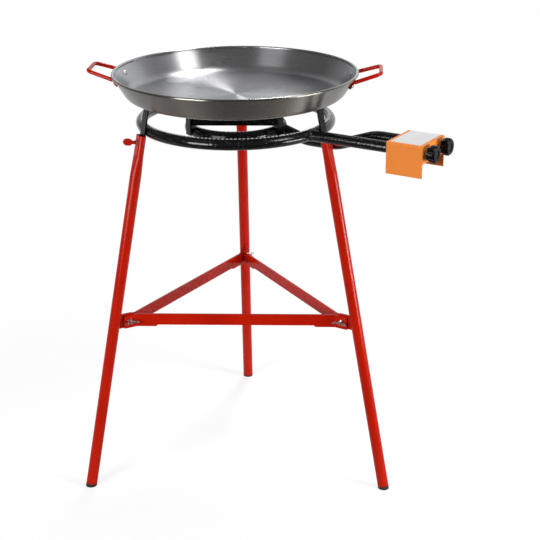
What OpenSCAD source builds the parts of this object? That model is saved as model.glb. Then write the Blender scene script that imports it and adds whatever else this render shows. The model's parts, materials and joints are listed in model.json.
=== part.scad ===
/* [Burner rings] */
// Centreline diameter of the outer ring
outer_ring_d = 386; // [370:2:410]
// Centreline diameter of the inner ring
inner_ring_d = 188; // [170:2:210]
// Outside diameter of the ring and feed tube
tube_d = 22; // [20:0.5:24]
// Wall of the ring and feed tube
tube_wall = 2; // [1.5:0.25:3]
// Height of the outer ring's centreline above the floor
ring_z = 756; // [660:2:860]
// How far the inner ring hangs below the outer one
inner_drop = 12.5; // [6:0.5:18]
// Gas ports in the outer ring
outer_ports = 148; // [100:4:160]
// Gas ports in the inner ring
inner_ports = 72; // [48:4:80]
// Diameter of a gas port
port_d = 2; // [1.5:0.1:2.5]
// Lean of the ports from upright, towards the burner's axis
port_lean = 10; // [0:1:20]

/* [Feed pipes] */
// Distance between the two feed pipes
pipe_pitch = 60; // [54:1:70]
// Distance from the burner's axis to the open end of each feed pipe
pipe_reach = 396; // [380:2:430]
// Centreline bend radius of the inner feed pipe
pipe_bend_r = 90; // [80:2:100]
// How far the inner feed pipe dips below the outer ring's centreline
pipe_dip = 30; // [26:0.5:34]
// Slope of the inner feed pipe where it leaves the inner ring
dip_angle = 16; // [14:1:18]
// Slope of the inner feed pipe where it climbs to its tap
climb_angle = 19; // [17:1:22]
// Distance from the burner's axis at which the climb starts
climb_start = 204; // [198:1:212]
// Length of each air window in a feed pipe
window_l = 16; // [10:1:18]
// Width of each air window in a feed pipe
window_w = 8; // [5:0.5:10]

/* [Pan supports] */
// Height of the pan's seat above the outer ring's centreline
seat_h = 51.5; // [44:0.5:64]
// Width of the support strip
strip_w = 20; // [16:0.5:21]
// Thickness of the support strip
strip_t = 3; // [2.5:0.25:4]
// Centreline bend radius of the support strip
strip_bend_r = 8; // [6:0.5:10]
// Height of the tie bar's lower edge above the outer ring's centreline
tie_rise = 1; // [0:0.5:10]
// Depth of the strip's tang inside the leg
tang_depth = 36; // [30:1:38]

/* [Legs] */
// Outward lean of each leg from upright
leg_splay = 11.3; // [8:0.1:14]
// Outside diameter of the leg tube
leg_d = 23; // [21:0.5:25]
// Wall of the leg tube
leg_wall = 1.5; // [1.25:0.25:2]
// Distance of the leg's top edge below the ring's centreline, along the leg
leg_top_drop = 9; // [7:0.5:16]
// Outside thickness of the squashed leg top
socket_t = 15; // [13:0.5:18]
// Outside width of the squashed leg top
socket_w = 27; // [24.5:0.5:29]
// Length of the squashed leg top
socket_len = 40; // [38:1:50]
// Length of the blend from the squashed top to the round tube
blend_len = 40; // [30:1:60]
// Visible thickness of the foot plug
foot_t = 6; // [5:0.5:10]

/* [Clamp screws] */
// Diameter of the clamp screw
clamp_d = 8; // [6:0.5:8]
// Distance of the clamp screw below the leg's top edge
clamp_drop = 15; // [12:0.5:20]
// Diameter of the boss on the leg
boss_d = 12; // [11:0.5:14]
// Thickness of the boss on the leg
boss_t = 3; // [2:0.5:5]
// Length of the clamp screw's paddle
paddle_l = 19; // [16:0.5:24]
// Width of the clamp screw's paddle
paddle_w = 14; // [12:0.5:18]
// Thickness of the clamp screw's paddle
paddle_t = 5; // [4:0.25:6]

/* [Brace] */
// Height of the brace's middle above the floor
brace_z = 363; // [300:1:420]
// Height of each flat brace bar
brace_h = 24; // [18:1:28]
// Thickness of each flat brace bar
brace_t = 4; // [3:0.25:5]
// Extra height of a bar's paddle end, below the bar
brace_flare = 3.5; // [2:0.5:6]
// Length of the paddle end before its bend
flare_len = 38; // [30:1:50]
// Bend radius of the bar, at its centreline
brace_bend_r = 7; // [5:0.5:10]
// Thickness of the ear on each leg
ear_t = 5; // [4:0.25:6]
// Height of the ear on each leg
ear_h = 30; // [26:0.5:36]
// Distance from the leg's axis to the brace bolt
bolt_inset = 31; // [28:0.5:36]
// Diameter of the brace bolt
bolt_d = 6; // [5:0.5:8]

/* [Tap cover] */
// Length of the cover along the feed pipes
cover_l = 75; // [70:1:90]
// Width of the cover
cover_w = 98; // [92:1:115]
// Height of the cover's sides
cover_h = 62; // [54:1:74]
// Height of the folded end that carries the taps
cover_end_h = 35; // [32:0.5:42]
// Gap between the feed pipes and the cover's top
cover_headroom = 4; // [2:0.5:8]
// Thickness of the cover's sheet
sheet_t = 1.5; // [1:0.1:2]
// Outside bend radius of the cover's sheet
sheet_r = 3.5; // [2.5:0.25:5]

/* [Gas taps] */
// Diameter of the tap's body
tap_d = 19; // [16:0.5:21]
// Diameter of the tap's threaded neck
neck_d = 12; // [11:0.5:14]
// Diameter of the tap's stem
stem_d = 8; // [6:0.5:8]
// Diameter of the gas rail
rail_d = 12; // [10:0.5:14]
// Drop of the gas rail below the taps
rail_drop = 19; // [18:0.5:22]
// Diameter of the hose nipple's spigot
nipple_d = 9; // [8:0.5:10]
// Length of the hose nipple's spigot
nipple_l = 22; // [16:1:28]
// Diameter of a control knob
knob_d = 34; // [30:0.5:40]
// Depth of a control knob
knob_l = 17; // [16:0.5:22]
// Lobes round a control knob
knob_lobes = 8; // [6:1:10]

/* [Pan] */
// Diameter of the pan across its lip
pan_d = 500; // [470:2:540]
// Diameter of the pan's flat base
pan_base_d = 410; // [400:2:430]
// Height of the pan
pan_h = 50; // [44:0.5:60]
// Thickness of the pan's steel
pan_t = 1.5; // [1:0.1:2]
// Outside radius of the bend between base and wall
pan_corner_r = 25; // [18:0.5:28]
// Diameter of the rolled lip
lip_d = 6; // [5:0.25:8]
// Turn of the pan's handles from the burner's left-to-right line
pan_turn = -62.8; // [-120:0.1:0]
// Diameter of the handle's rod
rod_d = 8; // [7:0.25:9]
// How far the handle reaches past the pan's lip
handle_reach = 48; // [40:1:60]
// Width of the handle's outer bar, at its centreline
handle_w = 76; // [64:1:90]
// Width of the handle at the pan, at its centreline
handle_root_w = 96; // [92:1:110]
// Rise of the handle's outer bar above the pan's lip
handle_rise = 4; // [2:0.5:12]
// Bend radius of the handle's corners, at the rod's centreline
handle_bend_r = 13; // [10:0.5:18]
// Diameter of a handle rivet
rivet_d = 5; // [4:0.25:6]

/* [Hidden] */
$fn = 64;
// Gap left between welded pieces, filled by the weld on the real burner
weld_gap = 0.1;
// Gap between pieces that slide together and are then fixed
slip = 0.2;
// Radial gap of a turning fit
turn_gap = 0.05;
// Gap between flat faces that part when a piece moves
part_gap = 0.1;
// Small overshoot that keeps cuts clean
eps = 1;
// How far a straight run reaches into its bend, and how much fuller the bend is
bend_lap = 0.4;
bend_fill = 0.04;
// Turn of each port about its own axis, which keeps its seam off the tube's crest
port_seam = 37;

// Order of the legs round the burner, from the one under the taps
leg_names = ["front", "left", "right"];
leg_az = [270, 150, 30];
// Side of each ear that carries the wing nut, plus for anticlockwise
nut_side = [-1, 1, -1];

tube_r = tube_d / 2;
bore_r = tube_r - tube_wall;
// Radius of the hole in a ring's wall where its feed pipe joins
mouth_r = bore_r - 1.5;
outer_r = outer_ring_d / 2;
inner_r = inner_ring_d / 2;
inner_z = ring_z - inner_drop;
seat_z = ring_z + seat_h;

// Feed pipes, along y towards the taps
pipe_x = pipe_pitch / 2;
outer_join = sqrt(outer_r * outer_r - pipe_x * pipe_x);
inner_join = sqrt(inner_r * inner_r - pipe_x * pipe_x);
dip_z = ring_z - pipe_dip;
dip_drop = inner_z - dip_z;
dip_run = (dip_drop - pipe_bend_r * (1 - cos(dip_angle))) / sin(dip_angle);
dip_end = inner_join + dip_run * cos(dip_angle) + pipe_bend_r * sin(dip_angle);
climb_run = (pipe_dip - 2 * pipe_bend_r * (1 - cos(climb_angle))) / sin(climb_angle);
climb_end = climb_start + climb_run * cos(climb_angle) + 2 * pipe_bend_r * sin(climb_angle);

// Pan supports: a strip that leans with the leg, bridges inwards and drops to the inner ring
strip_mid = tube_r + weld_gap + strip_t / 2;
strip_turn = 90 - leg_splay;
strip_top_z = seat_z - strip_t / 2;
strip_x0 = outer_r + strip_mid * cos(leg_splay);
strip_z0 = ring_z + strip_mid * sin(leg_splay);
strip_up = (strip_top_z - strip_z0) / cos(leg_splay);
strip_corner_x = strip_x0 - strip_up * sin(leg_splay);
strip_trim = strip_bend_r * tan(strip_turn / 2);
strip_down = leg_top_drop + tang_depth;
post_x = inner_r + strip_mid;
bridge_len = strip_corner_x - strip_trim - post_x - strip_bend_r;
post_below = 6;
// The tie bar lies across the gap between the left and front supports
tie_z = ring_z + tie_rise;
tie_az = 210;

// Legs: the tang's edges lie against the rounded sides of the squashed top
leg_r = leg_d / 2;
leg_in_r = leg_r - leg_wall;
socket_in_r = socket_t / 2 - leg_wall;
socket_flat = (socket_w - socket_t) / 2;
socket_side = max(strip_w / 2 + slip - socket_flat, 0);
socket_off = sqrt(socket_in_r * socket_in_r - socket_side * socket_side) - strip_t / 2;
leg_off = strip_mid + socket_off;
leg_x0 = outer_r + leg_off * cos(leg_splay);
leg_z0 = ring_z + leg_off * sin(leg_splay);
leg_full = leg_z0 / cos(leg_splay);
foot_r = leg_x0 + leg_full * sin(leg_splay);
leg_len = leg_full - foot_t / cos(leg_splay) - leg_top_drop;
plug_len = 18;
function leg_axis_x(z) = leg_x0 + (leg_z0 - z) * tan(leg_splay);

// Clamp screws, square to the leg
boss_face = socket_t / 2 + boss_t;
clamp_tip = strip_t / 2 - socket_off + part_gap;
paddle_x = boss_face + 7;
clamp_end = paddle_x + paddle_l / 2;

// Brace: bars whose ends bend to lie along the ears
brace_leg_x = leg_axis_x(brace_z);
bolt_x = brace_leg_x - bolt_inset;
ear_x = bolt_x - 12;
ear_half = ear_t / 2;
end_off = ear_half + part_gap + brace_t / 2;
brace_turn = 30;
end_len = 27;
end_tip = bolt_x + 12;
bend_x = end_tip - end_len - brace_bend_r * tan(brace_turn / 2);
brace_dist = bend_x * cos(60) + end_off * sin(60);
brace_half = bend_x * sin(60) - end_off * cos(60) - brace_bend_r * tan(brace_turn / 2);
bolt_hole_d = bolt_d + 2 * slip;
washer_t = 1.2;
nut_l = 7;
grip = end_off + brace_t / 2;
head_t = 4;

// Tap cover and taps, measured from the burner's axis towards the user
holder_t = 4;
tap_start = pipe_reach + holder_t;
tap_len = 41.5;
cover_end = tap_start + tap_len + sheet_t;
cover_start = cover_end - cover_l;
cover_top = ring_z + tube_r + cover_headroom + sheet_t;
tap_nut_t = 3.5;
neck_len = sheet_t + tap_nut_t + 0.8;
neck_end = tap_start + tap_len + neck_len;
knob_start = neck_end + 0.7;
knob_end = knob_start + knob_l;
stem_start = tap_start + 16;
// The knob's front wall covers the stem's end
knob_front_t = 5;
stem_end = knob_end - knob_front_t;
rail_s = tap_start + 14;
rail_z = ring_z - rail_drop;
rail_half = pipe_x + 8;
jet_l = 14;
jet_d = 8;
nipple_flange = 14;
nipple_flange_t = 5;

// Pan, in its own frame with z from the underside of its base
pan_r = pan_d / 2;
base_r = pan_base_d / 2;
lip_r = lip_d / 2;
pan_z = seat_z + part_gap;
lip_x = pan_r - lip_r;
lip_z = pan_h - lip_r;
lip_dx = lip_x - base_r;
corner_r = min(pan_corner_r, lip_dx + pan_t / 2);
corner_mid = corner_r - pan_t / 2;
lip_dz = lip_z - corner_r;
lip_dist = sqrt(lip_dx * lip_dx + lip_dz * lip_dz);
wall_face = atan2(lip_dz, lip_dx) - acos(corner_mid / lip_dist);
wall_len = sqrt(lip_dist * lip_dist - corner_mid * corner_mid);

// Handles: a bent rod whose flattened ends are riveted to the wall under the lip
tab_t = 4;
tab_w = 15;
rivet_head_d = 2.2 * rivet_d;
knuckle_r = rod_d / 2 + 0.3;
tab_head = rivet_head_d / 2 + knuckle_r + 0.7;
tab_down = tab_head + lip_r + 3.5;
root_az = asin(handle_root_w / 2 / pan_r);
tab_x = lip_x - tab_down * sin(-wall_face) + (pan_t / 2) * cos(wall_face);
tab_z = lip_z - tab_down * cos(-wall_face) + (pan_t / 2) * sin(wall_face);
// Middle of the rod where it meets the tab
rod_off = slip + knuckle_r;
root_x = tab_x + rod_off * cos(wall_face) + tab_head * sin(-wall_face);
root_z = tab_z + rod_off * sin(wall_face) + tab_head * cos(wall_face);
loop_root_x = root_x * cos(root_az);
loop_root_y = root_x * sin(root_az);
loop_end_x = pan_r + handle_reach - rod_d / 2;
loop_end_z = pan_h + handle_rise;
loop_tilt = atan2(loop_end_z - root_z, loop_end_x - loop_root_x);
loop_l = norm([loop_end_x - loop_root_x, loop_end_z - root_z]);
loop_in = loop_root_y - handle_w / 2;
arm_angle = atan2(loop_in, loop_l);
arm_turn = 90 - arm_angle;
arm_trim = handle_bend_r * tan(arm_turn / 2);
arm_len = norm([loop_l, loop_in]) - arm_trim;

// The frame stands on the floor at the middle of the whole outline
handle_back = (loop_end_x - handle_bend_r) * abs(sin(pan_turn)) + (handle_w / 2 - arm_trim) * cos(pan_turn)
              + handle_bend_r + rod_d / 2;
axis_y = (knob_end - handle_back) / 2;

// Places

// The burner's axis, with z from the floor
module on_axis() {
    translate([0, axis_y, 0]) children();
}

// A leg's radial plane: x outwards, z up from the floor
module at_leg(i) {
    on_axis() rotate([0, 0, leg_az[i]]) children();
}

// A leg's own axis: origin level with the ring, z up along the leg, x outwards
module along_leg(i) {
    at_leg(i) translate([leg_x0, 0, leg_z0]) rotate([0, -leg_splay, 0]) children();
}

// A feed pipe's axis at the ring's height: x from the burner's axis towards the tap
module along_pipe(side) {
    on_axis() translate([side * pipe_x, 0, ring_z]) rotate([0, 0, -90]) children();
}

// The axis of a leg's brace bolt: z along the bolt towards the wing nut
module along_bolt(i) {
    at_leg(i) translate([bolt_x, 0, brace_z]) rotate([-90 * nut_side[i], 0, 0]) children();
}

// The pan's own frame: x towards the near handle, z up from its underside
module in_pan() {
    on_axis() translate([0, 0, pan_z]) rotate([0, 0, pan_turn]) children();
}

// A handle tab's frame: x out of the pan's wall, z up along the wall
module at_tab(end, side) {
    rotate([0, 0, 180 * end + side * root_az]) translate([tab_x, 0, tab_z])
        rotate([0, -wall_face, 0]) children();
}

// Shared shapes

// A cylinder along x
module rod_x(from, to, d) {
    translate([from, 0, 0]) rotate([0, 90, 0]) cylinder(h = to - from, d = d);
}

// A hexagonal prism along z, given across its flats
module hex(flats, h) {
    rotate(30) cylinder(h = h, d = flats / cos(30), $fn = 6);
}

// A dome on the xy plane
module dome(d, h) {
    ball = (d * d / 4 + h * h) / (2 * h);
    intersection() {
        translate([0, 0, h - ball]) sphere(r = ball);
        cylinder(h = h, d = d);
    }
}

// A flat shape with round ends, its length along x
module stadium(l, w) {
    square([l - w, w], center = true);
    for (s = [-1, 1]) translate([s * (l - w) / 2, 0]) circle(d = w);
}

// A round bar along straight runs and bends in the xy plane, each step [length, turn]
// The runs reach a little into the bends, and the bends are a hair fuller, so that all fuse
module bent_rod(steps, bend_r, r, i = 0) {
    run = steps[i][0];
    turn = steps[i][1];
    side = turn < 0 ? -1 : 1;
    lead = i == 0 ? 0 : bend_lap;
    tail = turn == 0 ? 0 : bend_lap;
    rod_x(-lead, run + tail, 2 * r);
    if (turn != 0) translate([run, side * bend_r, 0]) rotate(side < 0 ? 90 + turn : -90)
        rotate_extrude(angle = abs(turn), $fn = 128) translate([bend_r, 0]) circle(r = r + bend_fill);
    if (i < len(steps) - 1) translate([run, side * bend_r, 0]) rotate(turn) translate([0, -side * bend_r, 0])
        bent_rod(steps, bend_r, r, i + 1);
}

// Points on an arc, for the outline of a bent strip
function arc(c, r, from, to, n = 10) = [for (k = [0 : n]) c + r * [cos(from + (to - from) * k / n),
                                                                  sin(from + (to - from) * k / n)]];

// The solid of a ring's tube, or of its bore
module ring_solid(r, z, section_r) {
    on_axis() translate([0, 0, z]) rotate_extrude($fn = 128) translate([r, 0]) circle(r = section_r);
}

// Rings and feed pipes

module drilled_ring(r, z, ports) {
    difference() {
        on_axis() translate([0, 0, z]) difference() {
            rotate_extrude($fn = 128) translate([r, 0]) rotate(-90) difference() {
                circle(r = tube_r);
                circle(r = bore_r);
            }
            for (k = [0 : ports - 1]) rotate([0, 0, (k + 0.5) * 360 / ports]) translate([r, 0, 0])
                rotate([0, -port_lean, 0]) rotate([0, 0, port_seam])
                cylinder(h = tube_r + eps, d = port_d, $fn = 24);
        }
        children();
    }
}

module outer_ring() {
    color([0.06, 0.06, 0.06]) drilled_ring(outer_r, ring_z, outer_ports)
        along_pipe(-1) rod_x(outer_join, outer_join + tube_d, 2 * mouth_r);
}

module inner_ring() {
    color([0.06, 0.06, 0.06]) drilled_ring(inner_r, inner_z, inner_ports)
        along_pipe(1) translate([inner_join, 0, -inner_drop]) rotate([0, dip_angle, 0])
        rod_x(0, tube_d, 2 * mouth_r);
}

// Two side windows that let air into a feed pipe behind its jet
module air_windows() {
    mid = pipe_reach - window_l / 2 - 7;
    for (s = [-1, 1]) translate([mid, s * tube_r, 0]) rotate([90, 0, 0])
        translate([0, 0, -tube_r / 2]) linear_extrude(tube_r) stadium(window_l, window_w);
}

module outer_feed_pipe() {
    color([0.06, 0.06, 0.06]) difference() {
        along_pipe(-1) difference() {
            rod_x(outer_join, pipe_reach, tube_d);
            rod_x(outer_join - eps, pipe_reach + eps, 2 * bore_r);
            air_windows();
        }
        ring_solid(outer_r, ring_z, tube_r + weld_gap);
    }
}

// The inner pipe's route: down from the inner ring, under the outer ring and up to its tap
module inner_route(r, over) {
    along_pipe(1) translate([inner_join, 0, -inner_drop]) rotate([90, 0, 0]) rotate(-dip_angle)
        bent_rod([[dip_run, dip_angle], [climb_start - dip_end, climb_angle], [climb_run, -climb_angle],
                  [pipe_reach - climb_end + over, 0]], pipe_bend_r, r);
}

module inner_feed_pipe() {
    color([0.06, 0.06, 0.06]) difference() {
        inner_route(tube_r, 0);
        inner_route(bore_r, eps);
        along_pipe(1) air_windows();
        ring_solid(inner_r, inner_z, tube_r + weld_gap);
    }
}

// One side of a support strip: tang foot, outer bend, inner bend and inner post's foot
function strip_side(half) =
    let (across = half * [cos(leg_splay), sin(leg_splay)],
         foot = [strip_x0 + strip_down * sin(leg_splay), strip_z0 - strip_down * cos(leg_splay)],
         outer_c = [strip_corner_x - strip_trim, strip_top_z - strip_bend_r],
         inner_c = [post_x + strip_bend_r, strip_top_z - strip_bend_r])
    concat([foot + across], arc(outer_c, strip_bend_r + half, leg_splay, 90),
           arc(inner_c, strip_bend_r + half, 90, 180), [[post_x - half, inner_z - post_below]]);

// One strip: tang, post, bridge under the pan and inner post
module pan_support(i) {
    outside = strip_side(strip_t / 2);
    inside = strip_side(-strip_t / 2);
    color([0.07, 0.07, 0.07]) at_leg(i) translate([0, strip_w / 2, 0]) rotate([90, 0, 0])
        linear_extrude(strip_w) polygon(concat(outside, [for (k = [len(inside) - 1 : -1 : 0]) inside[k]]));
}

// A flat bar on edge, welded between two inner posts
module tie_bar() {
    dist = post_x * cos(60);
    end = post_x * sin(60) - (strip_t / 2 + weld_gap) / cos(30);
    slant = strip_t / 2 * tan(30);
    color([0.07, 0.07, 0.07]) on_axis() rotate([0, 0, tie_az + 90]) translate([0, -dist, tie_z])
        linear_extrude(strip_w) polygon([[slant - end, -strip_t / 2], [end - slant, -strip_t / 2],
                                         [end + slant, strip_t / 2], [-end - slant, strip_t / 2]]);
}

module pan_support_front() { pan_support(0); }
module pan_support_left() { pan_support(1); }
module pan_support_right() { pan_support(2); }

// Jets, taps and knobs

// A plug that closes the pipe's end and holds the jet
module jet_holder(side) {
    color([0.62, 0.62, 0.60]) along_pipe(side) difference() {
        union() {
            rod_x(pipe_reach, tap_start, tube_d);
            rod_x(pipe_reach - 5, pipe_reach + eps, 2 * (bore_r - slip));
        }
        rod_x(pipe_reach - 5 - eps, tap_start + eps, jet_d + 2 * turn_gap);
    }
}

module jet_holder_outer() { jet_holder(-1); }
module jet_holder_inner() { jet_holder(1); }

// A brass jet with a tapered nose and a fine bore
module jet(side) {
    nose = 4;
    color([0.80, 0.62, 0.26]) along_pipe(side) difference() {
        union() {
            rod_x(tap_start - jet_l + nose, tap_start, jet_d);
            translate([tap_start - jet_l, 0, 0]) rotate([0, 90, 0])
                cylinder(h = nose, d1 = jet_d / 2, d2 = jet_d);
        }
        rod_x(tap_start - jet_l - eps, tap_start + eps, 1.5);
    }
}

module jet_outer() { jet(-1); }
module jet_inner() { jet(1); }

// A brass tap: body, hexagon, shoulder, threaded neck and the stub down to the gas rail
module tap(side) {
    hex_l = 8;
    stub_d = rail_d - 3;
    color([0.80, 0.62, 0.26]) along_pipe(side) difference() {
        union() {
            rod_x(tap_start, tap_start + tap_len, tap_d);
            translate([tap_start + tap_len - hex_l, 0, 0]) rotate([0, 90, 0]) hex(tap_d + 1, hex_l);
            rod_x(tap_start + tap_len - eps, neck_end, neck_d);
            translate([rail_s, 0, -rail_drop]) cylinder(h = rail_drop, d = stub_d);
        }
        rod_x(stem_start - part_gap, neck_end + eps, stem_d + 2 * turn_gap);
        translate([rail_s, 0, -rail_drop]) rotate([90, 0, 0])
            cylinder(h = rail_d * 2, d = rail_d, center = true);
    }
}

module tap_outer() { tap(-1); }
module tap_inner() { tap(1); }

// The nut that clamps the cover to a tap
module tap_nut(side) {
    color([0.75, 0.75, 0.74]) along_pipe(side) translate([cover_end, 0, 0]) rotate([0, 90, 0]) difference() {
        hex(neck_d + 5, tap_nut_t);
        translate([0, 0, -eps]) cylinder(h = tap_nut_t + 2 * eps, d = neck_d + 2 * turn_gap);
    }
}

module tap_nut_outer() { tap_nut(-1); }
module tap_nut_inner() { tap_nut(1); }

// The stem that turns in the tap, with the flat that drives the knob
module tap_stem(side) {
    flat_cut = stem_d / 4;
    color([0.78, 0.60, 0.25]) along_pipe(side) difference() {
        rod_x(stem_start, stem_end, stem_d);
        translate([knob_start, -stem_d, stem_d / 2 - flat_cut]) cube([stem_end, 2 * stem_d, stem_d]);
    }
}

module tap_stem_outer() { tap_stem(-1); }
module tap_stem_inner() { tap_stem(1); }

// A lobed knob: skirt, fluted grip with a double-chamfered nose, shallow front recess and a D-shaped socket
module knob(side) {
    skirt_l = 5;
    flute_r = knob_d * PI / knob_lobes / 4.6;
    flat_cut = stem_d / 4;
    socket_l = stem_end - knob_start + part_gap;
    color([0.05, 0.05, 0.05]) along_pipe(side) translate([knob_start, 0, 0]) rotate([0, 90, 0]) difference() {
        union() {
            cylinder(h = skirt_l + eps, d = knob_d - 6);
            translate([0, 0, skirt_l]) intersection() {
                linear_extrude(knob_l - skirt_l) difference() {
                    circle(d = knob_d);
                    for (k = [0 : knob_lobes - 1]) rotate((k + 0.5) * 360 / knob_lobes)
                        translate([knob_d / 2 + flute_r * 0.2, 0]) circle(r = flute_r);
                }
                cylinder(h = knob_l - skirt_l, r1 = knob_d / 2 + 3, r2 = knob_d / 2 - 1.5);
                cylinder(h = knob_l - skirt_l, r1 = knob_d / 2 - 3 + knob_l - skirt_l, r2 = knob_d / 2 - 3);
            }
        }
        translate([0, 0, knob_l - 1.2]) cylinder(h = 2, d = knob_d - 18);
        intersection() {
            translate([0, 0, -eps]) cylinder(h = socket_l + eps, d = stem_d + 2 * turn_gap);
            translate([-stem_d / 2 + flat_cut - turn_gap, -stem_d, -2 * eps])
                cube([2 * stem_d, 2 * stem_d, knob_l]);
        }
    }
}

module knob_outer() { knob(-1); }
module knob_inner() { knob(1); }

// The rail that feeds both taps
module gas_rail() {
    color([0.75, 0.75, 0.74]) on_axis() translate([0, -rail_s, rail_z]) difference() {
        rotate([0, 90, 0]) cylinder(h = 2 * rail_half, d = rail_d, center = true);
        rotate([0, 90, 0]) cylinder(h = 2 * rail_half - 6, d = rail_d - 3, center = true);
        for (s = [-1, 1]) translate([s * pipe_x, 0, 0]) cylinder(h = rail_d, d = rail_d - 6);
        translate([0, 0, -rail_d]) cylinder(h = rail_d, d = nipple_d - 4);
    }
}

// The hose nipple under the rail: flange, plain spigot and tapered lead
module hose_nipple() {
    lead = 3;
    low = -rail_d / 2 - nipple_flange_t;
    color([0.80, 0.62, 0.26]) on_axis() translate([0, -rail_s, rail_z]) difference() {
        union() {
            translate([0, 0, low]) cylinder(h = -low, d = nipple_flange);
            translate([0, 0, low - nipple_l]) cylinder(h = nipple_l + eps, d = nipple_d);
            translate([0, 0, low - nipple_l - lead]) cylinder(h = lead, d1 = nipple_d - 2.5, d2 = nipple_d);
        }
        rotate([0, 90, 0]) cylinder(h = 2 * nipple_flange, d = rail_d, center = true);
        translate([0, 0, low - nipple_l - lead - eps]) cylinder(h = nipple_l + rail_d * 2, d = nipple_d - 4);
    }
}

// The cover: a folded channel, open below and towards the burner, with one end folded down
// Its outline, inset for the inside, which then runs out below
module cover_outline(inset) {
    r = sheet_r - inset;
    w = cover_w - 2 * inset;
    h = cover_h - inset;
    translate([-w / 2, -inset]) square([w, h - r + inset]);
    translate([-w / 2 + r, 0]) square([w - 2 * r, h]);
    for (s = [-1, 1]) translate([s * (w / 2 - r), h - r]) circle(r = r);
}

module tap_cover() {
    slot_l = 10;
    slot_w = 2.5;
    fold_gap = 1;
    end_w = cover_w - 2 * (sheet_t + fold_gap);
    color([0.93, 0.48, 0.16]) on_axis() difference() {
        union() {
            translate([0, -cover_start, cover_top - cover_h]) rotate([90, 0, 0]) linear_extrude(cover_l)
                difference() {
                    cover_outline(0);
                    cover_outline(sheet_t);
                }
            translate([-end_w / 2, -cover_end, cover_top - cover_end_h])
                cube([end_w, sheet_t, cover_end_h - sheet_t / 2]);
        }
        for (s = [-1, 1]) translate([s * pipe_x, -cover_end + sheet_t + eps, ring_z]) rotate([90, 0, 0])
            cylinder(h = sheet_t + 2 * eps, d = neck_d + 2 * slip);
        translate([cover_w / 2 - 14, -cover_start - 5, cover_top - 2 * sheet_t]) linear_extrude(3 * sheet_t)
            stadium(slot_l, slot_w);
    }
}

// Legs

// The squashed top's outline, inset for the inside
module socket_outline(inset) {
    rotate(90) stadium(socket_w - 2 * inset, socket_t - 2 * inset);
}

// A leg's solid: round tube, blend and squashed top
module leg_solid(inset, over) {
    top = -leg_top_drop;
    blend_top = top - socket_len;
    blend_low = blend_top - blend_len;
    thin = 0.01;
    translate([0, 0, blend_top]) linear_extrude(socket_len + over) socket_outline(inset);
    hull() {
        translate([0, 0, blend_top]) linear_extrude(thin) socket_outline(inset, $fn = 32);
        translate([0, 0, blend_low - thin]) cylinder(h = thin, r = leg_r - inset, $fn = 32);
    }
    translate([0, 0, top - leg_len - over])
        cylinder(h = leg_len - socket_len - blend_len + over, r = leg_r - inset);
}

module leg(i) {
    color([0.78, 0.09, 0.04]) along_leg(i) difference() {
        leg_solid(0, 0);
        leg_solid(leg_wall, eps);
        translate([0, 0, -leg_top_drop - clamp_drop]) rod_x(0, socket_t, clamp_d + 2 * slip);
    }
}

module leg_front() { leg(0); }
module leg_left() { leg(1); }
module leg_right() { leg(2); }

// The threaded boss welded to the leg for the clamp screw
module leg_boss(i) {
    color([0.72, 0.72, 0.72]) along_leg(i) translate([0, 0, -leg_top_drop - clamp_drop]) difference() {
        rod_x(socket_t / 2, boss_face, boss_d);
        rod_x(0, boss_face + eps, clamp_d + 2 * turn_gap);
    }
}

module leg_boss_front() { leg_boss(0); }
module leg_boss_left() { leg_boss(1); }
module leg_boss_right() { leg_boss(2); }

// The ear welded to the leg's inner side for the brace
module leg_ear(i) {
    ear_r = 6;
    color([0.78, 0.09, 0.04]) difference() {
        at_leg(i) translate([ear_x, ear_half, brace_z]) rotate([90, 0, 0]) linear_extrude(ear_t)
            difference() {
                union() {
                    translate([ear_r, -ear_h / 2]) square([brace_leg_x - ear_x - ear_r, ear_h]);
                    translate([0, -ear_h / 2 + ear_r]) square([ear_r + eps, ear_h - 2 * ear_r]);
                    for (s = [-1, 1]) translate([ear_r, s * (ear_h / 2 - ear_r)]) circle(r = ear_r);
                }
                translate([bolt_x - ear_x, 0]) circle(d = bolt_hole_d);
            }
        along_leg(i) translate([0, 0, -leg_top_drop - leg_len]) cylinder(h = leg_len, r = leg_r + weld_gap);
    }
}

module leg_ear_front() { leg_ear(0); }
module leg_ear_left() { leg_ear(1); }
module leg_ear_right() { leg_ear(2); }

// The plug in the leg's foot, trimmed level with the floor
module foot_plug(i) {
    color([0.04, 0.04, 0.04]) intersection() {
        along_leg(i) translate([0, 0, -leg_top_drop - leg_len]) union() {
            translate([0, 0, -3 * foot_t]) cylinder(h = 3 * foot_t, r = leg_r);
            translate([0, 0, -eps]) cylinder(h = plug_len, r = leg_in_r - slip);
        }
        translate([-ring_z, -ring_z, 0]) cube(2 * ring_z);
    }
}

module foot_plug_front() { foot_plug(0); }
module foot_plug_left() { foot_plug(1); }
module foot_plug_right() { foot_plug(2); }

// A clamp screw: shank through the boss, neck and a thin-edged oval paddle
module clamp_screw(i) {
    lens_r = paddle_w * 1.4;
    color([0.78, 0.09, 0.04]) along_leg(i) translate([0, 0, -leg_top_drop - clamp_drop]) {
        rod_x(clamp_tip, boss_face + part_gap + eps, clamp_d);
        rod_x(boss_face + part_gap, paddle_x + 2, clamp_d - 1);
        intersection() {
            translate([clamp_end, paddle_t / 2, 0]) rotate([90, 0, 0]) linear_extrude(paddle_t)
                stadium(paddle_l, paddle_w);
            translate([0, lens_r - paddle_t / 2, 0])
                rod_x(clamp_end - paddle_l, clamp_end + paddle_l, 2 * lens_r);
            translate([0, paddle_t / 2 - lens_r, 0])
                rod_x(clamp_end - paddle_l, clamp_end + paddle_l, 2 * lens_r);
        }
    }
}

module clamp_screw_front() { clamp_screw(0); }
module clamp_screw_left() { clamp_screw(1); }
module clamp_screw_right() { clamp_screw(2); }

// Brace

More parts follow.
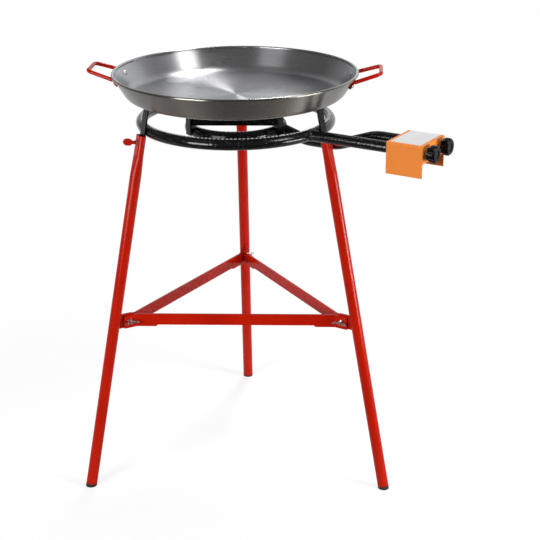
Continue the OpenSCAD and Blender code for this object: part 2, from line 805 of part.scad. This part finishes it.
// One face of a bar seen from above: x along the bar, y towards the burner's axis
function brace_side(half) =
    let (bend_c = [brace_half, -brace_bend_r],
         tip = bend_c + (brace_bend_r + half) * [sin(brace_turn), cos(brace_turn)]
               + end_len * [cos(brace_turn), -sin(brace_turn)],
         bend = arc(bend_c, brace_bend_r + half, 90, 90 - brace_turn, 6))
    concat(bend, [tip]);

// A bar's outline from above, both ends bent away from the burner's axis
function brace_outline() =
    let (front = brace_side(brace_t / 2),
         back = brace_side(-brace_t / 2),
         last = len(front) - 1)
    concat(front, [for (k = [last : -1 : 0]) back[k]],
           [for (p = back) [-p[0], p[1]]], [for (k = [last : -1 : 0]) [-front[k][0], front[k][1]]]);

// The bolt hole in a bar's bent end
module brace_end_hole() {
    hole_run = end_len - (end_tip - bolt_x);
    translate([brace_half, -brace_bend_r, 0]) rotate(-brace_turn) translate([hole_run, brace_bend_r, 0])
        rotate([90, 0, 0]) cylinder(h = 4 * brace_t, d = bolt_hole_d, center = true);
}

// The notch under a bar that leaves its ends taller than its middle
module brace_relief() {
    deep = brace_flare;
    long = brace_half - flare_len;
    translate([0, 2 * brace_t, -brace_h / 2]) rotate([90, 0, 0]) linear_extrude(4 * brace_t)
        polygon([[deep - long, 0], [long - deep, 0], [long, -deep], [long, -2 * deep],
                 [-long, -2 * deep], [-long, -deep]]);
}

module brace_bar(az) {
    tall = brace_h + brace_flare;
    color([0.78, 0.09, 0.04]) on_axis() rotate([0, 0, az + 90]) translate([0, -brace_dist, brace_z])
        difference() {
            translate([0, 0, -brace_h / 2 - brace_flare]) linear_extrude(tall) polygon(brace_outline());
            for (s = [0, 1]) mirror([s, 0, 0]) brace_end_hole();
            brace_relief();
        }
}

module brace_left() { brace_bar(210); }
module brace_right() { brace_bar(330); }
module brace_back() { brace_bar(90); }

// A bolt through two bar ends and the ear between them
module brace_bolt(i) {
    color([0.75, 0.75, 0.74]) along_bolt(i) {
        translate([0, 0, -grip - head_t - slip]) hex(bolt_d + 4, head_t);
        translate([0, 0, -grip - slip - eps])
            cylinder(h = 2 * grip + slip + eps + washer_t + nut_l + 3, d = bolt_d);
        translate([0, 0, grip + slip / 2]) difference() {
            cylinder(h = washer_t, d = 2 * bolt_d);
            translate([0, 0, -eps]) cylinder(h = washer_t + 2 * eps, d = bolt_d - eps);
        }
    }
}

module brace_bolt_front() { brace_bolt(0); }
module brace_bolt_left() { brace_bolt(1); }
module brace_bolt_right() { brace_bolt(2); }

// A wing nut: tapered hub and two rounded wings that sweep up and out
module wing_nut(i) {
    hub_d = 2 * bolt_d;
    wing_t = 2;
    wing_l = 15;
    seat = grip + washer_t + 1.5 * slip;
    color([0.75, 0.75, 0.74]) along_bolt(i) translate([0, 0, seat]) difference() {
        union() {
            cylinder(h = nut_l, d1 = hub_d, d2 = hub_d - 3);
            for (s = [0, 180]) rotate([90, 0, s]) translate([0, 0, -wing_t / 2]) linear_extrude(wing_t) {
                polygon([[bolt_d / 2 + 1, 1], [hub_d / 2, 0.5], [wing_l, 7], [wing_l - 7, 13],
                         [bolt_d / 2 + 1, nut_l - 1]]);
                translate([wing_l - 3.5, 10]) circle(d = 9);
            }
        }
        translate([0, 0, -eps]) cylinder(h = 3 * nut_l, d = bolt_d + 2 * turn_gap);
    }
}

module wing_nut_front() { wing_nut(0); }
module wing_nut_left() { wing_nut(1); }
module wing_nut_right() { wing_nut(2); }

// Pan

// The pan's section: base, corner bend, wall and rolled lip
module pan_section() {
    square([base_r, pan_t]);
    translate([base_r, corner_r]) intersection() {
        difference() {
            circle(r = corner_r);
            circle(r = corner_r - pan_t);
        }
        polygon([[0, 0], [0, -2 * corner_r], [2 * corner_r, -2 * corner_r],
                 [2 * corner_r * cos(wall_face), 2 * corner_r * sin(wall_face)]]);
    }
    translate([base_r, corner_r]) rotate(wall_face) translate([corner_r - pan_t, 0])
        square([pan_t, wall_len]);
    translate([lip_x, lip_z]) circle(r = lip_r);
}

module pan_shell() {
    color([0.72, 0.72, 0.70]) in_pan() difference() {
        rotate_extrude($fn = 180) pan_section();
        for (e = [0, 1], s = [-1, 1]) at_tab(e, s) rod_x(-2 * tab_t, 2 * tab_t, rivet_d + 2 * slip);
    }
}

// A handle: bent rod with two flattened ends on the wall
module pan_handle(end) {
    color([0.78, 0.09, 0.04]) in_pan() {
        rotate([0, 0, 180 * end]) translate([loop_root_x, -loop_root_y, root_z]) rotate([0, -loop_tilt, 0])
            rotate([0, 0, arm_angle])
            bent_rod([[arm_len, arm_turn], [handle_w - 2 * arm_trim, arm_turn], [arm_len, 0]],
                     handle_bend_r, rod_d / 2);
        for (s = [-1, 1]) at_tab(end, s) {
            difference() {
                union() {
                    translate([slip, -tab_w / 2, 0]) cube([tab_t, tab_w, tab_head]);
                    rod_x(slip, slip + tab_t, tab_w);
                }
                rod_x(0, 2 * tab_t, rivet_d + 2 * slip);
            }
            translate([rod_off, 0, tab_head]) sphere(r = knuckle_r);
        }
    }
}

module pan_handle_near() { pan_handle(0); }
module pan_handle_far() { pan_handle(1); }

// The rivets through the handles' ends and the pan's wall
module handle_rivets() {
    head_h = rivet_d / 2;
    inside = pan_t + slip / 2;
    outside = slip + tab_t + slip / 2;
    color([0.70, 0.70, 0.69]) in_pan() for (e = [0, 1], s = [-1, 1]) at_tab(e, s) {
        rod_x(-inside - eps, outside + eps, rivet_d);
        translate([outside, 0, 0]) rotate([0, 90, 0]) dome(rivet_head_d, head_h);
        translate([-inside, 0, 0]) rotate([0, -90, 0]) dome(rivet_head_d, head_h);
    }
}

pan_shell();
pan_handle_near();
pan_handle_far();
handle_rivets();
outer_ring();
inner_ring();
outer_feed_pipe();
inner_feed_pipe();
pan_support_front();
pan_support_left();
pan_support_right();
tie_bar();
jet_holder_outer();
jet_holder_inner();
jet_outer();
jet_inner();
tap_outer();
tap_inner();
tap_nut_outer();
tap_nut_inner();
tap_stem_outer();
tap_stem_inner();
knob_outer();
knob_inner();
gas_rail();
hose_nipple();
tap_cover();
leg_front();
leg_left();
leg_right();
leg_boss_front();
leg_boss_left();
leg_boss_right();
leg_ear_front();
leg_ear_left();
leg_ear_right();
foot_plug_front();
foot_plug_left();
foot_plug_right();
clamp_screw_front();
clamp_screw_left();
clamp_screw_right();
brace_left();
brace_right();
brace_back();
brace_bolt_front();
brace_bolt_left();
brace_bolt_right();
wing_nut_front();
wing_nut_left();
wing_nut_right();
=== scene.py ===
import json
import math

import bmesh
import bpy
from mathutils import Matrix, Vector

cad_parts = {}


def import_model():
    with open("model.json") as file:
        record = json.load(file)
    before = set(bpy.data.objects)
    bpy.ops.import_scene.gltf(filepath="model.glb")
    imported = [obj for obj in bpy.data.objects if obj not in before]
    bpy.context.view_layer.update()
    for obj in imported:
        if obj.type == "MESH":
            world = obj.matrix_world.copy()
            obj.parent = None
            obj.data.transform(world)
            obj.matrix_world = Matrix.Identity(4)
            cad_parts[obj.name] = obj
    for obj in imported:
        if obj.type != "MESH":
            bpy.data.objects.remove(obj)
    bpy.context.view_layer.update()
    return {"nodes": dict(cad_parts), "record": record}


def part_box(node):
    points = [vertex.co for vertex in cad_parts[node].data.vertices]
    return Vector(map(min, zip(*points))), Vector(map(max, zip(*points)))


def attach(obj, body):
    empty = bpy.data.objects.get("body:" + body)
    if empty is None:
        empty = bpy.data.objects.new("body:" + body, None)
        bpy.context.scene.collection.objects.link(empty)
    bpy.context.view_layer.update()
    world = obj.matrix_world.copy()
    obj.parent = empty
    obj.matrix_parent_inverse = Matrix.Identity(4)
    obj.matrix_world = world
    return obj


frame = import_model()
NODES = frame["nodes"]

# Sizes of the part that the details below follow, in metres
LEG_AZ = {"front": 270.0, "left": 150.0, "right": 30.0}
SPLAY = math.radians(11.3)
# The burner's axis, from the middle of the outer ring
AXIS_Y = sum(corner[1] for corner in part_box("outer_ring")) / 2
RING_Z = 0.756
INNER_Z = 0.7435
OUTER_R = 0.193
INNER_R = 0.094
TUBE_R = 0.011
OUTER_PORTS = 148
INNER_PORTS = 72
PORT_LEAN = math.radians(10)
PIPE_X = 0.03
PIPE_DIP = math.radians(16)
EAR_Z = sum(corner[2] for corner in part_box("leg_ear_front")) / 2
EAR_R = 0.2755
COVER_TOP = 0.7725

WHITE = (1.0, 1.0, 1.0, 1.0)
# Vector operations whose result is a number
NUMBER_RESULTS = ("DISTANCE", "DOT_PRODUCT", "LENGTH")


# Node tree helpers

def new_tree(name):
    mat = bpy.data.materials.new(name)
    mat.use_nodes = True
    tree = mat.node_tree
    tree.nodes.clear()
    out = tree.nodes.new("ShaderNodeOutputMaterial")
    return mat, tree, out


def add(tree, kind, **values):
    node = tree.nodes.new(kind)
    for key, value in values.items():
        setattr(node, key, value)
    return node


def put(node, **values):
    """Sets inputs by name, with an underscore for each space."""
    for key, value in values.items():
        node.inputs[key.replace("_", " ")].default_value = value
    return node


def link(tree, a, b):
    tree.links.new(a, b)


def feed(tree, socket, value):
    """Sets a socket to a plain value, or links another node's socket to it."""
    if isinstance(value, bpy.types.NodeSocket):
        link(tree, value, socket)
    else:
        socket.default_value = value


def maths(tree, operation, *values):
    node = add(tree, "ShaderNodeMath", operation=operation)
    for socket, value in zip(node.inputs, values):
        feed(tree, socket, value)
    return node.outputs["Value"]


def vector_maths(tree, operation, *values):
    node = add(tree, "ShaderNodeVectorMath", operation=operation)
    for socket, value in zip(node.inputs, values):
        feed(tree, socket, value)
    return node.outputs["Value" if operation in NUMBER_RESULTS else "Vector"]


def spread(tree, value, low, high):
    """A value from low to high, as 0 to 1."""
    node = put(add(tree, "ShaderNodeMapRange"), From_Min=low, From_Max=high)
    link(tree, value, node.inputs["Value"])
    return node.outputs["Result"]


def ramp(tree, fac, stops):
    node = add(tree, "ShaderNodeValToRGB")
    elements = node.color_ramp.elements
    while len(elements) < len(stops):
        elements.new(0.5)
    for element, (pos, colour) in zip(elements, stops):
        element.position = pos
        element.color = (*colour, 1.0)
    link(tree, fac, node.inputs["Fac"])
    return node.outputs["Color"]


def grey(v):
    return (v, v, v)


def position(tree):
    return add(tree, "ShaderNodeNewGeometry").outputs["Position"]


def noise(tree, vector, scale, detail=2.0, rough=0.5):
    node = put(add(tree, "ShaderNodeTexNoise"), Scale=scale, Detail=detail, Roughness=rough)
    link(tree, vector, node.inputs["Vector"])
    return node.outputs["Fac"]


def bump(tree, height, strength, distance):
    node = put(add(tree, "ShaderNodeBump"), Strength=strength, Distance=distance)
    link(tree, height, node.inputs["Height"])
    return node.outputs["Normal"]


def principled(tree, out, base, rough, metal=0.0, spec=0.5):
    node = add(tree, "ShaderNodeBsdfPrincipled")
    put(node, Base_Color=(*base, 1.0), Roughness=rough, Metallic=metal, Specular_IOR_Level=spec)
    link(tree, node.outputs["BSDF"], out.inputs["Surface"])
    return node


def plain(tree, kind, colour):
    """A shader of one colour: diffuse, emission or background."""
    node = add(tree, kind)
    feed(tree, node.inputs["Color"], colour)
    return node.outputs[0]


def mix_shaders(tree, fac, low, high):
    node = add(tree, "ShaderNodeMixShader")
    for socket, value in zip(node.inputs, (fac, low, high)):
        link(tree, value, socket)
    return node.outputs["Shader"]


# Materials

def painted(name, low, high, rough, shine, wobble=0.12):
    """A gloss paint: a slight drift of shade and a faint orange peel."""
    drift_scale, peel_scale, peel_depth = 12.0, 720.0, 0.0004
    mat, tree, out = new_tree(name)
    node = principled(tree, out, high, rough, spec=shine)
    pos = position(tree)
    drift = noise(tree, pos, drift_scale, 3.0)
    link(tree, ramp(tree, drift, [(0.3, low), (0.7, high)]), node.inputs["Base Color"])
    peel = noise(tree, pos, peel_scale)
    link(tree, bump(tree, peel, wobble, peel_depth), node.inputs["Normal"])
    return mat


def enamel(name, shine):
    """Black vitreous enamel with a rolling surface and fine pale dots of painted glint."""
    black = (0.004, 0.004, 0.0045)
    glint_scale, roll_scale, roll_depth = 260.0, 240.0, 0.0014
    mat, tree, out = new_tree(name)
    node = principled(tree, out, black, 0.12, spec=shine)
    pos = position(tree)
    cells = put(add(tree, "ShaderNodeTexVoronoi"), Scale=glint_scale, Randomness=1.0)
    link(tree, pos, cells.inputs["Vector"])
    # Pale dots in the base colour are painted glints of the lamps on the glaze.
    glint_shades = [(0.0, grey(0.34)), (0.13, grey(0.2)), (0.19, grey(0.004))]
    painted_glints = ramp(tree, cells.outputs["Distance"], glint_shades)
    few = ramp(tree, noise(tree, pos, glint_scale), [(0.44, grey(0.0)), (0.54, grey(1.0))])
    mix = add(tree, "ShaderNodeMix", data_type="RGBA")
    # A Mix node has sockets for each type of data: these are the factor and the two colours
    for index, value in ((0, few), (6, (*black, 1.0)), (7, painted_glints)):
        feed(tree, mix.inputs[index], value)
    link(tree, mix.outputs[2], node.inputs["Base Color"])
    link(tree, bump(tree, noise(tree, pos, roll_scale), 0.2, roll_depth), node.inputs["Normal"])
    return mat


def pan_steel():
    """Polished steel brushed in circles, with a painted shade that darkens the outside of the pan."""
    inside, outside = (0.425, 0.427, 0.438), (0.265, 0.26, 0.235)
    smooth, dull = 0.24, 0.33
    brush_scale, brush_depth, brush_share = 900.0, 0.0002, 0.14
    haze_scale = 9.0
    mat, tree, out = new_tree("pan_steel")
    node = principled(tree, out, inside, smooth, metal=1.0)
    put(node, Anisotropic=0.93, Anisotropic_Rotation=0.25)
    tangent = add(tree, "ShaderNodeTangent", direction_type="RADIAL", axis="Z")
    link(tree, tangent.outputs["Tangent"], node.inputs["Tangent"])
    pos = position(tree)
    from_axis = vector_maths(tree, "SUBTRACT", pos, (0.0, AXIS_Y, 0.0))
    flat = vector_maths(tree, "MULTIPLY", from_axis, (1.0, 1.0, 0.0))
    rings_at = add(tree, "ShaderNodeCombineXYZ")
    link(tree, vector_maths(tree, "LENGTH", flat), rings_at.inputs["X"])
    rings = noise(tree, rings_at.outputs["Vector"], brush_scale, 3.0, 0.7)
    normal = add(tree, "ShaderNodeNewGeometry").outputs["Normal"]
    facing = vector_maths(tree, "DOT_PRODUCT", vector_maths(tree, "NORMALIZE", flat), normal)
    # The outside's darker, warmer colour is painted shade: it stands in for the dim floor under the pan
    # that the outer wall reflects.
    link(tree, ramp(tree, facing, [(0.3, inside), (0.5, outside)]), node.inputs["Base Color"])
    haze = noise(tree, pos, haze_scale)
    wear = maths(tree, "MULTIPLY_ADD", rings, brush_share, haze)
    link(tree, ramp(tree, wear, [(0.35, grey(smooth)), (0.8, grey(dull))]), node.inputs["Roughness"])
    link(tree, bump(tree, rings, 0.05, brush_depth), node.inputs["Normal"])
    return mat


def metal(name, base, rough):
    """Plated or turned metal with a slight unevenness of shine."""
    patch_scale = 300.0
    mat, tree, out = new_tree(name)
    node = principled(tree, out, base, rough, metal=1.0)
    patches = noise(tree, position(tree), patch_scale, 3.0)
    shines = [(0.3, grey(rough * 0.8)), (0.7, grey(rough * 1.3))]
    link(tree, ramp(tree, patches, shines), node.inputs["Roughness"])
    return mat


def plastic(name, base, rough, shine, grain=0.05):
    """Moulded plastic or rubber with a fine grain."""
    cloud_scale, grain_scale, grain_depth = 40.0, 1500.0, 0.0003
    mat, tree, out = new_tree(name)
    node = principled(tree, out, base, rough, spec=shine)
    pos = position(tree)
    lighter = tuple(c * 1.6 + 0.004 for c in base)
    clouds = ramp(tree, noise(tree, pos, cloud_scale), [(0.3, base), (0.75, lighter)])
    link(tree, clouds, node.inputs["Base Color"])
    link(tree, bump(tree, noise(tree, pos, grain_scale), grain, grain_depth), node.inputs["Normal"])
    return mat


def paper():
    """Plain label stock with a faint unevenness."""
    cloud_scale = 25.0
    mat, tree, out = new_tree("label_paper")
    node = principled(tree, out, grey(0.82), 0.45)
    clouds = noise(tree, position(tree), cloud_scale)
    link(tree, ramp(tree, clouds, [(0.3, grey(0.76)), (0.7, grey(0.82))]), node.inputs["Base Color"])
    return mat


LOOKS = {
    "pan_steel": pan_steel(),
    "rivet_steel": metal("rivet_steel", (0.55, 0.54, 0.51), 0.3),
    "black_enamel": enamel("black_enamel", 0.45),
    "strip_enamel": enamel("strip_enamel", 0.12),
    "weld_enamel": enamel("weld_enamel", 1.0),
    "zinc_plate": metal("zinc_plate", (0.62, 0.62, 0.60), 0.26),
    "brass": metal("brass", (0.72, 0.52, 0.20), 0.3),
    # Near-white port rims: bare edges coloured as painted glints.
    "port_rim_glint": painted("port_rim_glint", (0.78, 0.77, 0.75), (0.92, 0.91, 0.89), 0.25, 0.6),
    "black_plastic": plastic("black_plastic", grey(0.002), 0.25, 0.13),
    "orange_paint": painted("orange_paint", (0.93, 0.255, 0.026), (0.98, 0.28, 0.034), 0.45, 0.25, 0.05),
    "red_paint": painted("red_paint", (0.45, 0.008, 0.001), (0.52, 0.011, 0.001), 0.2, 0.2),
    "foot_rubber": plastic("foot_rubber", grey(0.012), 0.5, 0.4, 0.15),
    "label_paper": paper(),
}
for part in frame["record"]["subparts"]:
    is_strip = part["node"].startswith("pan_support")
    look = LOOKS["strip_enamel" if is_strip else part["material_slot"]]
    mesh_object = NODES[part["node"]]
    mesh_object.data.materials.clear()
    mesh_object.data.materials.append(look)


# Studio

# The way that the photo's camera looks, seen from above, and its right hand
HEADING = Vector((0.8505, 0.5259, 0.0)).normalized()
RIGHT = Vector((HEADING.y, -HEADING.x, 0.0))


def seen(right, ahead, up):
    """A point as the camera sees it: right of the burner's axis, beyond it, and up from the floor."""
    p = RIGHT * right + HEADING * ahead
    return Vector((p.x, p.y + AXIS_Y, up))


def place(name, data):
    """A new object in the scene."""
    obj = bpy.data.objects.new(name, data)
    bpy.context.scene.collection.objects.link(obj)
    return obj


def mirrored(tree, path):
    """1 for rays that a shiny or clear surface sends on."""
    return maths(tree, "MAXIMUM", path.outputs["Is Glossy Ray"], path.outputs["Is Transmission Ray"])


def floor():
    """White to the camera; to other rays a painted shade, dark in front, and white far back to mirrored
    ones.
    """
    half = 12.0
    dark, pale = 0.08, 0.8
    glow, lit = 0.67, 0.4
    mesh = bpy.data.meshes.new("floor")
    corners = [(-half, -half, 0), (half, -half, 0), (half, half, 0), (-half, half, 0)]
    mesh.from_pydata(corners, [], [(0, 1, 2, 3)])
    obj = place("floor", mesh)
    mat, tree, out = new_tree("floor")
    path = add(tree, "ShaderNodeLightPath")
    pos = position(tree)
    ahead = vector_maths(tree, "DOT_PRODUCT", pos, HEADING)
    # The floor's colour runs from dark in front to pale behind: painted shade, so that the metal reflects
    # a dim floor in front.
    shades = ramp(tree, spread(tree, ahead, -0.7, 0.5), [(0.0, grey(dark)), (1.0, grey(pale))])
    far = maths(tree, "MULTIPLY", mirrored(tree, path), spread(tree, ahead, 0.5, 2.5))
    diffuse = plain(tree, "ShaderNodeBsdfDiffuse", shades)
    unseen = mix_shaders(tree, far, diffuse, plain(tree, "ShaderNodeEmission", WHITE))
    # Near the feet part of the white is a lit surface, which keeps the shadow
    near = spread(tree, vector_maths(tree, "DISTANCE", pos, (0.0, AXIS_Y, 0.0)), 1.1, 0.6)
    ground = add(tree, "ShaderNodeAddShader")
    glows = ramp(tree, near, [(0.0, grey(1.0)), (1.0, grey(glow))])
    lits = ramp(tree, near, [(0.0, grey(0.0)), (1.0, grey(lit))])
    link(tree, plain(tree, "ShaderNodeEmission", glows), ground.inputs[0])
    link(tree, plain(tree, "ShaderNodeBsdfDiffuse", lits), ground.inputs[1])
    surface = mix_shaders(tree, path.outputs["Is Camera Ray"], unseen, ground.outputs["Shader"])
    link(tree, surface, out.inputs["Surface"])
    mesh.materials.append(mat)


def world():
    """White to the camera, and to mirrored rays far back: a studio dark behind the camera otherwise."""
    shades = [
        (0.0, grey(0.18)),
        (0.3, grey(0.18)),
        (0.5, grey(0.13)),
        (0.75, grey(0.35)),
        (1.0, (0.82, 0.84, 0.89)),
    ]
    studio = bpy.data.worlds.new("studio")
    bpy.context.scene.world = studio
    studio.use_nodes = True
    tree = studio.node_tree
    tree.nodes.clear()
    out = tree.nodes.new("ShaderNodeOutputWorld")
    path = add(tree, "ShaderNodeLightPath")
    direction = add(tree, "ShaderNodeTexCoord").outputs["Generated"]
    bright_side = (HEADING + RIGHT * 0.4).normalized()
    ahead = vector_maths(tree, "DOT_PRODUCT", direction, bright_side)
    sky = plain(tree, "ShaderNodeBackground", ramp(tree, spread(tree, ahead, -1.0, 1.0), shades))
    backdrop = maths(tree, "MULTIPLY", mirrored(tree, path), spread(tree, ahead, 0.65, 1.0))
    shown = maths(tree, "MAXIMUM", path.outputs["Is Camera Ray"], backdrop)
    white = plain(tree, "ShaderNodeBackground", WHITE)
    link(tree, mix_shaders(tree, shown, sky, white), out.inputs["Surface"])


def softbox(name, at, target, width, height, power):
    data = bpy.data.lights.new(name, "AREA")
    data.shape = "RECTANGLE"
    data.size = width
    data.size_y = height
    data.energy = power
    obj = place(name, data)
    obj.location = at
    obj.rotation_euler = (target - at).to_track_quat("-Z", "Y").to_euler()


def camera():
    """The photo's camera, fitted to the pan's lip, the rings, the feet and the brace."""
    at = seen(0.0679, -2.5529, 1.4192)
    pitch, roll = 0.3717, -0.0066
    data = bpy.data.cameras.new("camera")
    data.sensor_width = 36.0
    data.lens = 85.237
    data.clip_end = 100.0
    obj = place("camera", data)
    ahead = HEADING * math.cos(pitch) - Vector((0, 0, math.sin(pitch)))
    up = RIGHT.cross(ahead)
    turn = Matrix((RIGHT, up, -ahead)).transposed().to_4x4()
    obj.matrix_world = Matrix.Translation(at) @ turn @ Matrix.Rotation(roll, 4, "Z")
    bpy.context.scene.camera = obj


floor()
world()
MIDDLE = seen(0.0, 0.0, 0.7)
# Name, place, target, width, height and watts of each lamp
SOFTBOXES = (
    ("key", seen(1.82, -1.01, 2.38), MIDDLE, 0.8, 1.0, 20.0),
    ("fill", seen(-1.75, -2.2, 1.05), MIDDLE, 1.3, 1.3, 60.0),
    ("back", seen(0.40, 1.17, 2.83), MIDDLE, 0.45, 0.45, 22.0),
    ("low", seen(1.7, -0.7, 0.45), seen(0.0, 0.1, 0.3), 0.8, 0.5, 20.0),
)
for row in SOFTBOXES:
    softbox(*row)
camera()
bpy.context.scene.view_settings.view_transform = "Standard"


# Details on the frame

def add_mesh(name, verts, faces, look):
    """A smooth mesh that rides on the stand."""
    mesh = bpy.data.meshes.new(name)
    mesh.from_pydata(verts, [], faces)
    mesh.update()
    for poly in mesh.polygons:
        poly.use_smooth = True
    mesh.materials.append(LOOKS[look])
    obj = place(name, mesh)
    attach(obj, "stand")


def bead(name, path, radius, look, closed=False):
    """A weld: a short lumpy tube along a path of points."""
    sides = 10
    end_share = 0.45
    count = len(path)
    verts, faces = [], []
    for k, p in enumerate(path):
        before = path[(k - 1) % count] if closed or k > 0 else p
        after = path[(k + 1) % count] if closed or k < count - 1 else p
        along = (after - before).normalized()
        across = along.orthogonal().normalized()
        other = along.cross(across)
        lump = radius * (1.0 + 0.22 * math.sin(k * 2.1) + 0.12 * math.sin(k * 5.3 + 1.0))
        if not closed and k in (0, count - 1):
            lump *= end_share
        for j in range(sides):
            a = 2 * math.pi * j / sides
            verts.append(p + across * (lump * math.cos(a)) + other * (lump * math.sin(a)))
    last = count if closed else count - 1
    for k in range(last):
        n = (k + 1) % count
        for j in range(sides):
            i = (j + 1) % sides
            faces.append((k * sides + j, k * sides + i, n * sides + i, n * sides + j))
    if not closed:
        faces.append(tuple(reversed(range(sides))))
        faces.append(tuple((count - 1) * sides + j for j in range(sides)))
    add_mesh(name, verts, faces, look)


def at_leg(leg, r, side, z):
    """A point in a leg's plane: out from the burner's axis, aside from the plane, and up."""
    a = math.radians(LEG_AZ[leg])
    x = r * math.cos(a) - side * math.sin(a)
    y = r * math.sin(a) + side * math.cos(a) + AXIS_Y
    return Vector((x, y, z))


def run(a, b, count):
    """Points evenly along a straight line."""
    return [a.lerp(b, k / (count - 1)) for k in range(count)]


# A bead's line lies this far from the tube's surface
WELD_OFF = 0.0004
STRIP_BEAD_R = 0.0017
EAR_BEAD_R = 0.0013
PIPE_BEAD_R = 0.0019


def strip_weld(name, leg, r, z):
    """A bead across a flat strip where a ring touches it."""
    half = 0.0088
    path = run(at_leg(leg, r, -half, z), at_leg(leg, r, half, z), 13)
    bead(name, path, STRIP_BEAD_R, "weld_enamel")


# Beads above and below the outer ring, and above the inner one
BEAD_RISE = 0.0044
for leg in LEG_AZ:
    for end, sign in (("upper", 1), ("lower", -1)):
        n, t = TUBE_R - WELD_OFF, BEAD_RISE * sign
        r = OUTER_R + n * math.cos(SPLAY) - t * math.sin(SPLAY)
        z = RING_Z + n * math.sin(SPLAY) + t * math.cos(SPLAY)
        strip_weld("outer_weld_%s_%s" % (leg, end), leg, r, z)
    strip_weld("inner_weld_%s" % leg, leg, INNER_R + TUBE_R - WELD_OFF, INNER_Z + BEAD_RISE)

# Beads along both faces of each ear, where it meets its leg
EAR_HALF = 0.0135
EAR_SIDE = 0.0029
EAR_LEAN = EAR_HALF * math.tan(SPLAY)
for leg in LEG_AZ:
    for end, sign in (("a", 1), ("b", -1)):
        low = at_leg(leg, EAR_R + EAR_LEAN, sign * EAR_SIDE, EAR_Z - EAR_HALF)
        top = at_leg(leg, EAR_R - EAR_LEAN, sign * EAR_SIDE, EAR_Z + EAR_HALF)
        bead("ear_weld_%s_%s" % (leg, end), run(low, top, 15), EAR_BEAD_R, "red_paint")


def ring_gap(p, r, z):
    """Distance from a point to a ring's centreline."""
    return math.hypot(math.hypot(p.x, p.y - AXIS_Y) - r, p.z - z)


def saddle(start, direction, r, z):
    """The line where a feed pipe meets its ring, found by halving along the pipe."""
    count, halvings, reach = 44, 40, 0.03
    across = direction.cross(Vector((0, 0, 1))).normalized()
    other = across.cross(direction)
    path = []
    for k in range(count):
        a = 2 * math.pi * k / count
        foot = start + across * (TUBE_R * math.cos(a)) + other * (TUBE_R * math.sin(a))
        low, high = 0.0, reach
        for _ in range(halvings):
            mid = (low + high) / 2
            if ring_gap(foot + direction * mid, r, z) < TUBE_R + WELD_OFF:
                low = mid
            else:
                high = mid
        path.append(foot + direction * high)
    return path


def pipe_weld(name, x, r, z, dip):
    """A bead round a feed pipe where it leaves its ring."""
    start = Vector((x, AXIS_Y - math.sqrt(r ** 2 - x ** 2), z))
    direction = Vector((0, -math.cos(dip), -math.sin(dip)))
    bead(name, saddle(start, direction, r, z), PIPE_BEAD_R, "weld_enamel", True)


pipe_weld("outer_pipe_weld", -PIPE_X, OUTER_R, RING_Z, 0.0)
pipe_weld("inner_pipe_weld", PIPE_X, INNER_R, INNER_Z, PIPE_DIP)


def port_rims(name, r, z, ports):
    """The bare metal edges of a ring's gas ports, one small ring round each hole, near white as a painted
    glint.
    """
    rim_r, wire_r, sink = 0.0019, 0.0009, 0.0001
    round_steps, wire_steps = 12, 6
    verts, faces = [], []
    for k in range(ports):
        a = 2 * math.pi * (k + 0.5) / ports
        out = Vector((math.cos(a), math.sin(a), 0.0))
        side = Vector((-math.sin(a), math.cos(a), 0.0))
        up = Vector((0.0, 0.0, math.cos(PORT_LEAN))) - out * math.sin(PORT_LEAN)
        along = side.cross(up)
        middle = Vector((0.0, AXIS_Y, z)) + out * r + up * (TUBE_R - sink)
        base = len(verts)
        for i in range(round_steps):
            b = 2 * math.pi * i / round_steps
            spoke = along * math.cos(b) + side * math.sin(b)
            for j in range(wire_steps):
                c = 2 * math.pi * j / wire_steps
                verts.append(middle + spoke * (rim_r + wire_r * math.cos(c)) + up * (wire_r * math.sin(c)))
        for i in range(round_steps):
            for j in range(wire_steps):
                n, m = (i + 1) % round_steps, (j + 1) % wire_steps
                corners = ((i, j), (n, j), (n, m), (i, m))
                faces.append(tuple(base + p * wire_steps + q for p, q in corners))
    add_mesh(name, verts, faces, "port_rim_glint")


port_rims("outer_port_rims", OUTER_R, RING_Z, OUTER_PORTS)
port_rims("inner_port_rims", INNER_R, INNER_Z, INNER_PORTS)


def label():
    """The blank label on the tap cover's top."""
    thick = 0.0002
    x0, x1 = -0.043, 0.0465
    y0, y1 = AXIS_Y - 0.436, AXIS_Y - 0.374
    middle = ((x0 + x1) / 2, (y0 + y1) / 2, COVER_TOP + thick / 2)
    mesh = bpy.data.meshes.new("cover_label")
    shape = bmesh.new()
    bmesh.ops.create_cube(shape, size=1.0)
    shape.transform(Matrix.Translation(middle) @ Matrix.Diagonal((x1 - x0, y1 - y0, thick, 1)))
    shape.to_mesh(mesh)
    shape.free()
    mesh.materials.append(LOOKS["label_paper"])
    obj = place("cover_label", mesh)
    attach(obj, "stand")


label()
